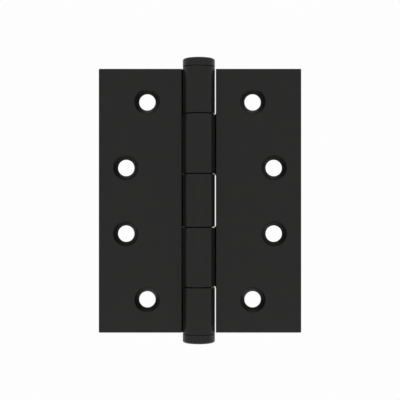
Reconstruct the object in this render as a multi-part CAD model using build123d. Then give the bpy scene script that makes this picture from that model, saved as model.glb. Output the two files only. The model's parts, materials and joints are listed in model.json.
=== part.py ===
from build123d import *
import os
from math import cos, radians, sin, tan

# Door hinge, 4 1/2 in x 3 1/2 in, five knuckles, square corners, flush tips.
# Millimetres. The origin is on the pin's axis at mid-height, +Z is up the pin,
# the countersunk faces look towards -Y, and the door leaf is on the +X side.
# The hinge is laid flat open.

# Leaves
LEAF_HEIGHT = 114.3
LEAF_THICKNESS = 3.4
DOOR_LEAF_WIDTH = 44.3           # pin axis to outer edge
FRAME_LEAF_WIDTH = 43.3
CLOSED_GAP = 1.6                 # between the two countersunk faces, hinge shut
CORNER_RADIUS = 0.5
EDGE_RADIUS = 0.2

# Barrel
BARREL_RADIUS = 6.95
BORE_RADIUS = 3.5
STACK_TOP = 57.5                 # upper end of the top knuckle
STACK_BOTTOM = -57.3             # lower end of the bottom knuckle
JOINT_HEIGHTS = (37.38, 11.57, -11.42, -37.12)
KNUCKLE_GAP = 0.4
KNUCKLE_EDGE = 0.1

# Where a leaf meets the barrel
SHOULDER = 7.43                  # pin axis to the inner edge of the flat face
GROOVE_ROOT_X = 6.25             # the groove beside the barrel narrows down to here
GROOVE_ROOT_Y = 3.3
SWAGE_TOP = 8.6                  # the offset back is level up to here ...
SWAGE_END = 12.0                 # ... and has come down to the leaf's back here
SWAGE_RADIUS = 1.5
CURL_SLIT = 0.25                 # between the end of the curl and the leaf
DOOR_NOTCH = 7.43                # pin axis to the bottom of a notch
FRAME_NOTCH = 5.2                # the frame leaf reaches in behind the door leaf's knuckles
NOTCH_RADIUS = 1.1
NOTCH_CLEARANCE = 0.3            # all round the other leaf's knuckle

# Screw holes for a No. 12 flat head, two rows in each leaf
HOLE_RADIUS = 3.57
SINK_RADIUS = 5.5
SINK_ANGLE = 82.0
INNER_ROW_INSET = 20.9           # from the leaf's outer edge
OUTER_ROW_INSET = 11.7
INNER_ROW_HEIGHT = 42.86         # above and below the middle
OUTER_ROW_HEIGHT = 14.29

# Pin and tips
PIN_RADIUS = 3.45
PIN_POINT = 1.2
TOP_TIP_HEIGHT = 3.47
TOP_TIP_SEAM = 0.18
BOTTOM_TIP_HEIGHT = 3.77
BOTTOM_TIP_SEAM = 0.08
TIP_EDGE = 0.8
TIP_SEAT_EDGE = 0.15
TIP_SOCKET = 2.2                 # how far the pin stands in the top tip
PRESS_CLEARANCE = 0.02
PLUG_LENGTH = 7.0                # spigot of the bottom tip
PUNCH_HOLE_RADIUS = 1.5          # a punch goes in here to drive the pin out
PIN_END_CLEARANCE = 0.5

# Concealed thrust ball bearing, let into the top of the knuckle below each joint
POCKET_RADIUS = 5.35
COLLAR_RADIUS = 5.27             # the knuckle above stands on the bearing with this
COLLAR_ROOT_RADIUS = 6.3         # it tapers out to here at the knuckle's end
COLLAR_DEPTH = 0.8               # from the joint down to the upper race
RACE_BORE = 3.55
RACE_RADIUS = 5.30
RACE_THICKNESS = 0.8
BALL_RADIUS = 0.6
BALL_COUNT = 13
BALL_CLEARANCE = 0.015
CAGE_BORE = 3.65
CAGE_RADIUS = 5.2
CAGE_THICKNESS = 0.6
CAGE_CLEARANCE = 0.05

FACE = CLOSED_GAP / 2
BACK = FACE + LEAF_THICKNESS
PITCH_RADIUS = (CAGE_BORE + CAGE_RADIUS) / 2
BEARING_HALF = RACE_THICKNESS + BALL_RADIUS + BALL_CLEARANCE
BEARING_DROP = COLLAR_DEPTH + BEARING_HALF
TOP_TIP_SEAT = STACK_TOP + TOP_TIP_SEAM
BOTTOM_TIP_SEAT = STACK_BOTTOM - BOTTOM_TIP_SEAM
BEYOND = 100.0                   # clear of every piece, for cuts that go right through
FRAME_SIDE = -1
DOOR_SIDE = 1


def knuckle_spans():
    """The (low, high) heights of the five knuckles, from the top down."""
    half = KNUCKLE_GAP / 2
    tops = [STACK_TOP] + [joint - half for joint in JOINT_HEIGHTS]
    bottoms = [joint + half for joint in JOINT_HEIGHTS] + [STACK_BOTTOM]
    return list(zip(bottoms, tops))


def slab(x_low, x_high, y_low, y_high, z_low, z_high):
    """A box between the given limits."""
    box = Box(x_high - x_low, y_high - y_low, z_high - z_low)
    middle = ((x_low + x_high) / 2, (y_low + y_high) / 2, (z_low + z_high) / 2)
    return Pos(*middle) * box


def disc(radius, low, high):
    """A cylinder on the pin's axis."""
    return Pos(0, 0, (low + high) / 2) * Cylinder(radius, high - low)


def ring(inner, outer, low, high):
    """A plain ring on the pin's axis."""
    return disc(outer, low, high) - disc(inner, low - 1, high + 1)


def leaf_section(width):
    """The leaf's section square to the pin, for a leaf on the +X side."""
    points = [
        (width, FACE),
        (SHOULDER, FACE),
        (GROOVE_ROOT_X, GROOVE_ROOT_Y),
        (0, GROOVE_ROOT_Y),
        (0, BARREL_RADIUS),
        (SWAGE_TOP, BARREL_RADIUS),
        (SWAGE_END, BACK),
        (width, BACK),
    ]
    section = make_face(Polyline(*points, close=True))
    bends = [v for v in section.vertices() if SWAGE_TOP - 0.1 < v.X < SWAGE_END + 0.1]
    section = fillet(bends, SWAGE_RADIUS)
    corners = [v for v in section.vertices() if v.X > width - 0.1]
    section = fillet(corners, EDGE_RADIUS)
    shoulder = [v for v in section.vertices() if abs(v.X - SHOULDER) < 0.1 and v.Y < FACE + 0.1]
    return fillet(shoulder, EDGE_RADIUS)


def leaf_plate(width):
    """The whole leaf before its notches are cut, with rounded ends and corners."""
    plate = extrude(leaf_section(width), LEAF_HEIGHT / 2, both=True)
    corners = plate.edges().filter_by(Axis.Y).filter_by(lambda e: e.center().X > width - 0.1)
    return fillet(corners, CORNER_RADIUS)


def notch(depth, low, high):
    """The cut for one of the other leaf's knuckles, with rounded inner corners."""
    reach = BARREL_RADIUS + 2
    cut = slab(-reach, depth, -reach, reach, low, high)
    inner = cut.edges().filter_by(Axis.Y).filter_by(lambda e: e.center().X > depth - 0.1)
    return fillet(inner, NOTCH_RADIUS)


def end_notch(depth, low, high):
    """The cut for an end knuckle, rounded only where it meets the leaf."""
    reach = BARREL_RADIUS + 2
    outward = 1 if low > 0 else -1
    far = outward * BEYOND
    near = low if low > 0 else high
    cut = slab(-reach, depth, -reach, reach, min(near, far), max(near, far))
    inner = cut.edges().filter_by(Axis.Y).filter_by(
        lambda e: e.center().X > depth - 0.1 and abs(e.center().Z - near) < 0.1
    )
    return fillet(inner, NOTCH_RADIUS)


def screw_hole(x, z):
    """A countersunk through hole, opening towards -Y."""
    depth = (SINK_RADIUS - HOLE_RADIUS) / tan(radians(SINK_ANGLE / 2))
    outline = [
        (0, FACE - 1),
        (SINK_RADIUS + tan(radians(SINK_ANGLE / 2)), FACE - 1),
        (HOLE_RADIUS, FACE + depth),
        (HOLE_RADIUS, BACK + 1),
        (0, BACK + 1),
    ]
    half = make_face(Polyline(*outline, close=True))
    return Pos(x, 0, z) * revolve(half, Axis.Y)


def screw_places(width):
    """Where the four screws go in a leaf on the +X side."""
    inner = width - INNER_ROW_INSET
    outer = width - OUTER_ROW_INSET
    return [
        (inner, INNER_ROW_HEIGHT),
        (outer, OUTER_ROW_HEIGHT),
        (outer, -OUTER_ROW_HEIGHT),
        (inner, -INNER_ROW_HEIGHT),
    ]


def knuckle(index):
    """A knuckle's outside, its end edges just broken, with a collar for the bearing below."""
    low, high = knuckle_spans()[index]
    body = disc(BARREL_RADIUS, low, high)
    body = chamfer(body.edges().filter_by(GeomType.CIRCLE), KNUCKLE_EDGE)
    if index < len(JOINT_HEIGHTS):
        joint = JOINT_HEIGHTS[index]
        body += Pos(0, 0, joint) * Cone(COLLAR_RADIUS, COLLAR_ROOT_RADIUS, KNUCKLE_GAP)
        body += disc(COLLAR_RADIUS, joint - COLLAR_DEPTH, joint)
    return body


def bearing_pocket(index):
    """The counterbore in a knuckle's top for the bearing above it."""
    joint = JOINT_HEIGHTS[index - 1]
    return disc(POCKET_RADIUS, joint - BEARING_DROP - BEARING_HALF, joint)


def curl_slit(index):
    """The fine slit where the rolled metal comes back to the leaf."""
    low, high = knuckle_spans()[index]
    return slab(0, GROOVE_ROOT_X, GROOVE_ROOT_Y - CURL_SLIT, GROOVE_ROOT_Y, low, high)


def leaf(side, width, notch_depth, own, other):
    """A leaf with its own knuckles, cut clear of the other leaf's."""
    part = leaf_plate(width)
    spans = knuckle_spans()
    for index in other:
        low, high = spans[index]
        cut = end_notch if index in (0, 4) else notch
        part -= cut(notch_depth, low - KNUCKLE_GAP, high + KNUCKLE_GAP)
        part -= disc(BARREL_RADIUS + NOTCH_CLEARANCE, low - KNUCKLE_GAP, high + KNUCKLE_GAP)
    for index in own:
        part += knuckle(index)
    for index in own:
        part -= curl_slit(index)
    part -= disc(BORE_RADIUS, -BEYOND, BEYOND)
    for index in own:
        if index > 0:
            part -= bearing_pocket(index)
    for x, z in screw_places(width):
        part -= screw_hole(x, z)
    if side == FRAME_SIDE:
        part = mirror(part, Plane.YZ)
    return part


def frame_leaf():
    return leaf(FRAME_SIDE, FRAME_LEAF_WIDTH, FRAME_NOTCH, own=(0, 2, 4), other=(1, 3))


def door_leaf():
    return leaf(DOOR_SIDE, DOOR_LEAF_WIDTH, DOOR_NOTCH, own=(1, 3), other=(0, 2, 4))


def hinge_pin():
    """The pin, from inside the top tip down to just above the bottom plug."""
    top = TOP_TIP_SEAT + TIP_SOCKET
    bottom = STACK_BOTTOM + PLUG_LENGTH + PIN_END_CLEARANCE
    pin = disc(PIN_RADIUS, bottom, top)
    point = pin.edges().filter_by(GeomType.CIRCLE).sort_by(Axis.Z)[0]
    return chamfer(point, PIN_POINT)


def tip_cap(low, high, outer_end):
    """A flat tip of the barrel's diameter, more rounded at its outer end."""
    cap = disc(BARREL_RADIUS, low, high)
    outward = Axis.Z if outer_end > 0 else -Axis.Z
    cap = chamfer(cap.edges().filter_by(GeomType.CIRCLE).sort_by(outward)[0], TIP_SEAT_EDGE)
    return fillet(cap.edges().filter_by(GeomType.CIRCLE).sort_by(outward)[-1], TIP_EDGE)


def top_tip():
    """The pin's head: it is pressed on the pin and lifts out with it."""
    cap = tip_cap(TOP_TIP_SEAT, TOP_TIP_SEAT + TOP_TIP_HEIGHT, 1)
    socket = disc(PIN_RADIUS + PRESS_CLEARANCE, TOP_TIP_SEAT - 1, TOP_TIP_SEAT + TIP_SOCKET)
    return cap - socket


def bottom_tip():
    """A plug pressed into the lowest knuckle, with a hole for a drive punch."""
    cap = tip_cap(BOTTOM_TIP_SEAT - BOTTOM_TIP_HEIGHT, BOTTOM_TIP_SEAT, -1)
    spigot = disc(BORE_RADIUS - PRESS_CLEARANCE, BOTTOM_TIP_SEAT - 1, STACK_BOTTOM + PLUG_LENGTH)
    hole = disc(PUNCH_HOLE_RADIUS, -BEYOND, 0)
    return cap + spigot - hole


def race(middle, above):
    """One hardened washer of a bearing, above or below the balls."""
    sign = 1 if above else -1
    near = middle + sign * (BALL_RADIUS + BALL_CLEARANCE)
    far = middle + sign * BEARING_HALF
    return ring(RACE_BORE, RACE_RADIUS, min(near, far), max(near, far))


def ball_places(middle):
    """The balls' centres, evenly spaced round the pitch circle."""
    step = 360 / BALL_COUNT
    angles = [radians(step * index) for index in range(BALL_COUNT)]
    return [(PITCH_RADIUS * cos(a), PITCH_RADIUS * sin(a), middle) for a in angles]


def cage(middle):
    """The flat retainer that keeps the balls apart."""
    half = CAGE_THICKNESS / 2
    body = ring(CAGE_BORE, CAGE_RADIUS, middle - half, middle + half)
    for place in ball_places(middle):
        body -= Pos(*place) * Cylinder(BALL_RADIUS + CAGE_CLEARANCE, CAGE_THICKNESS + 1)
    return body


def balls(middle):
    """The loose balls of one bearing."""
    return Compound(children=[Pos(*place) * Sphere(BALL_RADIUS) for place in ball_places(middle)])


def bearing(number, joint):
    """The four kinds of piece in one concealed bearing, by node name."""
    middle = joint - BEARING_DROP
    return {
        f"bearing_{number}_upper_race": race(middle, True),
        f"bearing_{number}_balls": balls(middle),
        f"bearing_{number}_cage": cage(middle),
        f"bearing_{number}_lower_race": race(middle, False),
    }


def all_nodes():
    nodes = {
        "frame_leaf": frame_leaf(),
        "door_leaf": door_leaf(),
        "hinge_pin": hinge_pin(),
        "top_tip": top_tip(),
        "bottom_tip": bottom_tip(),
    }
    for number, joint in enumerate(JOINT_HEIGHTS, start=1):
        nodes.update(bearing(number, joint))
    return nodes


os.makedirs("parts", exist_ok=True)
for node, shape in all_nodes().items():
    export_step(shape, f"parts/{node}.step")
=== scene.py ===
import json
from math import radians

import bpy
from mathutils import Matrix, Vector


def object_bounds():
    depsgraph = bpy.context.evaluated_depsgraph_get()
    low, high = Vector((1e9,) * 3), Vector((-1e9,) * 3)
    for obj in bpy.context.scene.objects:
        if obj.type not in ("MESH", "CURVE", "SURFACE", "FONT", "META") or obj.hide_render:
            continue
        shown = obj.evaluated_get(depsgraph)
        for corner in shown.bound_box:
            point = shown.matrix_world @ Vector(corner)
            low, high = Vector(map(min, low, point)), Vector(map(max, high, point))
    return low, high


MM = 0.001

# The camera looks square on at the open hinge, from a little below its middle, with the
# lens shifted up so that the hinge still stands in the middle of the picture.
LENS_MM = 85.0
SENSOR_MM = 36.0
CAMERA_DISTANCE = 407.8 * MM
CAMERA_RIGHT = 0.50 * MM
CAMERA_DOWN = 5.3 * MM
LENS_SHIFT = 0.0325

# The powder coat: black, with a weak, fairly sharp reflection
LEAF_BLACK = (0.0041, 0.0038, 0.0034)
TIP_BLACK = (0.0047, 0.0047, 0.0046)
COAT_SPECULAR = 0.252
COAT_ROUGHNESS = 0.26
MOTTLE_SIZE = 9 * MM
MOTTLE_TONE = 0.1                # the tone varies by this share either way
GLOSS_SIZE = 3 * MM
GLOSS_VARIATION = 0.012          # the roughness varies by this much either way
PEEL_SIZE = 0.9 * MM             # orange peel
PEEL_DEPTH = 0.006 * MM
GRAIN_SIZE = 0.22 * MM           # the powder's own grain, over the peel
GRAIN_DEPTH = 0.002 * MM

# Bare metals: colour, roughness, and how far apart the finishing lines are
PIN_STEEL = ((0.52, 0.52, 0.53), 0.28, 0.25 * MM)
RACE_STEEL = ((0.58, 0.58, 0.59), 0.2, 0.2 * MM)
BALL_STEEL = ((0.72, 0.72, 0.74), 0.08, 0.3 * MM)
CAGE_BRASS = ((0.72, 0.52, 0.24), 0.3, 0.25 * MM)
LINE_TONE = 0.86                 # the lines are darker than the metal by this factor
LINE_SMOOTHEST = 0.75            # least and most roughness, as shares of the metal's own
LINE_ROUGHEST = 1.3
LINE_DEPTH = 0.003 * MM
EVEN_GRAIN = (1, 1, 1)
TURNED_GRAIN = (0.02, 0.02, 1)   # drawn out into rings round the upright axis

# Studio: white all round
STUDIO_WHITE = 0.985             # the backdrop, as the camera sees it
STUDIO_FRONT = 1.0               # light from the camera's side ...
STUDIO_BACK = 0.7                # ... falling off to this from behind the hinge
STUDIO_ROOF = 0.9                # extra from straight above ...
ROOF_EDGE = 0.7                  # ... fading out where the direction's height is this
FLOOR_DROP = 300 * MM            # below the hinge's middle
FLOOR_RADIUS = 800 * MM
FLOOR_SIDES = 96
FLOOR_GLOW = 0.75                # the floor is lit from inside, like a light table
FLOOR_ROUGHNESS = 0.8
FLOOR_MOTTLE_SIZE = 60 * MM
FLOOR_DARK = (0.86, 0.86, 0.86)
FLOOR_LIGHT = (0.9, 0.9, 0.9)

# Noise lies almost wholly between these
NOISE_LOW = 0.3
NOISE_HIGH = 0.7

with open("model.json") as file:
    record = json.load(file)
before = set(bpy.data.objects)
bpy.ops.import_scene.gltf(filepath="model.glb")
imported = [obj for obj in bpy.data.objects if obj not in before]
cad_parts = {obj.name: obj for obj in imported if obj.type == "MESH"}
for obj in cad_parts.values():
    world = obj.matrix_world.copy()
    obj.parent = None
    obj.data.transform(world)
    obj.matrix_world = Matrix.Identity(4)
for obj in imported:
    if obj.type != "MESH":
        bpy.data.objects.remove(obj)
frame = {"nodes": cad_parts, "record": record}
cad_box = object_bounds()


def new_material(name):
    """An empty node material with a Principled shader, and the two nodes."""
    material = bpy.data.materials.new(name)
    material.use_nodes = True
    nodes = material.node_tree.nodes
    nodes.clear()
    shader = nodes.new("ShaderNodeBsdfPrincipled")
    output = nodes.new("ShaderNodeOutputMaterial")
    material.node_tree.links.new(shader.outputs["BSDF"], output.inputs["Surface"])
    return material, shader


class Graph:
    """Short calls for the few kinds of node that the materials and the studio are made of."""

    def __init__(self, tree):
        self.tree = tree
        texture = tree.nodes.new("ShaderNodeTexCoord")
        self.place = texture.outputs["Object"]
        self.direction = texture.outputs["Generated"]

    def link(self, source, target):
        self.tree.links.new(source, target)

    def noise(self, size, detail=2, stretch=EVEN_GRAIN):
        """Noise whose blotches are about size metres across."""
        mapping = self.tree.nodes.new("ShaderNodeMapping")
        mapping.inputs["Scale"].default_value = stretch
        self.link(self.place, mapping.inputs["Vector"])
        node = self.tree.nodes.new("ShaderNodeTexNoise")
        node.inputs["Scale"].default_value = 1 / size
        node.inputs["Detail"].default_value = detail
        self.link(mapping.outputs["Vector"], node.inputs["Vector"])
        return node.outputs["Fac"]

    def spread(self, value, low, high, start=NOISE_LOW, end=NOISE_HIGH, easing="LINEAR"):
        """A value's range from start to end, spread from low to high."""
        node = self.tree.nodes.new("ShaderNodeMapRange")
        node.interpolation_type = easing
        node.inputs["From Min"].default_value = start
        node.inputs["From Max"].default_value = end
        node.inputs["To Min"].default_value = low
        node.inputs["To Max"].default_value = high
        self.link(value, node.inputs["Value"])
        return node.outputs["Result"]

    def add(self, first, second):
        """The sum of two values."""
        node = self.tree.nodes.new("ShaderNodeMath")
        node.operation = "ADD"
        self.link(first, node.inputs[0])
        self.link(second, node.inputs[1])
        return node.outputs["Value"]

    def mix(self, value, first, second):
        """A colour between first and second."""
        node = self.tree.nodes.new("ShaderNodeMix")
        node.data_type = "RGBA"
        self.link(value, node.inputs["Factor"])
        node.inputs["A"].default_value = (*first, 1)
        node.inputs["B"].default_value = (*second, 1)
        return node.outputs["Result"]

    def bump(self, height, depth, under=None):
        """A bump of that depth in metres, over another bump if there is one."""
        node = self.tree.nodes.new("ShaderNodeBump")
        node.inputs["Strength"].default_value = 1
        node.inputs["Distance"].default_value = depth
        self.link(height, node.inputs["Height"])
        if under is not None:
            self.link(under, node.inputs["Normal"])
        return node.outputs["Normal"]


def scaled(colour, factor):
    """The colour, lighter or darker by that factor."""
    return tuple(channel * factor for channel in colour)


def powder_coat(name, black):
    """Matte black powder coat: fine orange peel, faint mottling in tone and gloss."""
    material, shader = new_material(name)
    graph = Graph(material.node_tree)
    mottle = graph.spread(graph.noise(MOTTLE_SIZE, detail=3), 0, 1)
    tone = graph.mix(mottle, scaled(black, 1 - MOTTLE_TONE), scaled(black, 1 + MOTTLE_TONE))
    graph.link(tone, shader.inputs["Base Color"])
    smoothest = COAT_ROUGHNESS - GLOSS_VARIATION
    roughest = COAT_ROUGHNESS + GLOSS_VARIATION
    gloss = graph.spread(graph.noise(GLOSS_SIZE), smoothest, roughest)
    graph.link(gloss, shader.inputs["Roughness"])
    peel = graph.bump(graph.noise(PEEL_SIZE, detail=1), PEEL_DEPTH)
    grain = graph.bump(graph.noise(GRAIN_SIZE), GRAIN_DEPTH, under=peel)
    graph.link(grain, shader.inputs["Normal"])
    shader.inputs["Specular IOR Level"].default_value = COAT_SPECULAR
    return material


def metal(name, kind, stretch=EVEN_GRAIN):
    """Bare metal with the fine lines that grinding or rolling leaves."""
    colour, roughness, spacing = kind
    material, shader = new_material(name)
    graph = Graph(material.node_tree)
    lines = graph.noise(spacing, detail=3, stretch=stretch)
    tone = graph.mix(graph.spread(lines, 0, 1), scaled(colour, LINE_TONE), colour)
    graph.link(tone, shader.inputs["Base Color"])
    gloss = graph.spread(lines, roughness * LINE_SMOOTHEST, roughness * LINE_ROUGHEST)
    graph.link(gloss, shader.inputs["Roughness"])
    graph.link(graph.bump(lines, LINE_DEPTH), shader.inputs["Normal"])
    shader.inputs["Metallic"].default_value = 1
    return material


def finishes():
    """Every finish, by the record's material slot."""
    return {
        "leaf_black": powder_coat("leaf_black", LEAF_BLACK),
        "tip_black": powder_coat("tip_black", TIP_BLACK),
        "pin_steel": metal("pin_steel", PIN_STEEL, stretch=TURNED_GRAIN),
        "race_steel": metal("race_steel", RACE_STEEL),
        "ball_steel": metal("ball_steel", BALL_STEEL),
        "cage_brass": metal("cage_brass", CAGE_BRASS),
    }


def dress_nodes():
    """Gives each CAD node its finish."""
    finish = finishes()
    for part in frame["record"]["subparts"]:
        piece = frame["nodes"][part["node"]]
        for place in piece.material_slots:
            place.material = finish[part["material_slot"]]


def make_floor():
    """A pale, glowing round floor under the hinge."""
    low, high = cad_box
    middle = (Vector(low) + Vector(high)) / 2
    bpy.ops.mesh.primitive_circle_add(
        vertices=FLOOR_SIDES,
        radius=FLOOR_RADIUS,
        fill_type="NGON",
        location=(middle.x, middle.y, middle.z - FLOOR_DROP),
    )
    floor = bpy.context.object
    floor.name = "floor"
    material, shader = new_material("floor_paper")
    graph = Graph(material.node_tree)
    tone = graph.spread(graph.noise(FLOOR_MOTTLE_SIZE), 0, 1)
    graph.link(graph.mix(tone, FLOOR_DARK, FLOOR_LIGHT), shader.inputs["Base Color"])
    shader.inputs["Roughness"].default_value = FLOOR_ROUGHNESS
    shader.inputs["Emission Color"].default_value = (1, 1, 1, 1)
    shader.inputs["Emission Strength"].default_value = FLOOR_GLOW
    floor.data.materials.append(material)


def light_studio():
    """Soft white light from all round, a little brighter from the front and from above."""
    scene = bpy.context.scene
    world = bpy.data.worlds.new("studio")
    scene.world = world
    world.use_nodes = True
    graph = Graph(world.node_tree)
    axes = graph.tree.nodes.new("ShaderNodeSeparateXYZ")
    graph.link(graph.direction, axes.inputs["Vector"])
    depth = graph.spread(axes.outputs["Y"], STUDIO_FRONT, STUDIO_BACK, -1, 1)
    roof = graph.spread(axes.outputs["Z"], 0, STUDIO_ROOF, ROOF_EDGE, 1, "SMOOTHSTEP")
    path = graph.tree.nodes.new("ShaderNodeLightPath")
    seen = graph.tree.nodes.new("ShaderNodeMix")
    graph.link(path.outputs["Is Camera Ray"], seen.inputs["Factor"])
    graph.link(graph.add(depth, roof), seen.inputs["A"])
    seen.inputs["B"].default_value = STUDIO_WHITE
    background = graph.tree.nodes["Background"]
    background.inputs["Color"].default_value = (1, 1, 1, 1)
    graph.link(seen.outputs["Result"], background.inputs["Strength"])
    scene.view_settings.view_transform = "Standard"
    scene.view_settings.look = "None"


def place_camera():
    """Square on to the leaves' faces."""
    data = bpy.data.cameras.new("camera")
    data.lens = LENS_MM
    data.sensor_width = SENSOR_MM
    data.shift_y = LENS_SHIFT
    camera = bpy.data.objects.new("camera", data)
    bpy.context.scene.collection.objects.link(camera)
    camera.location = (CAMERA_RIGHT, -CAMERA_DISTANCE, -CAMERA_DOWN)
    camera.rotation_euler = (radians(90), 0, 0)
    bpy.context.scene.camera = camera


place_camera()
light_studio()
make_floor()
dress_nodes()
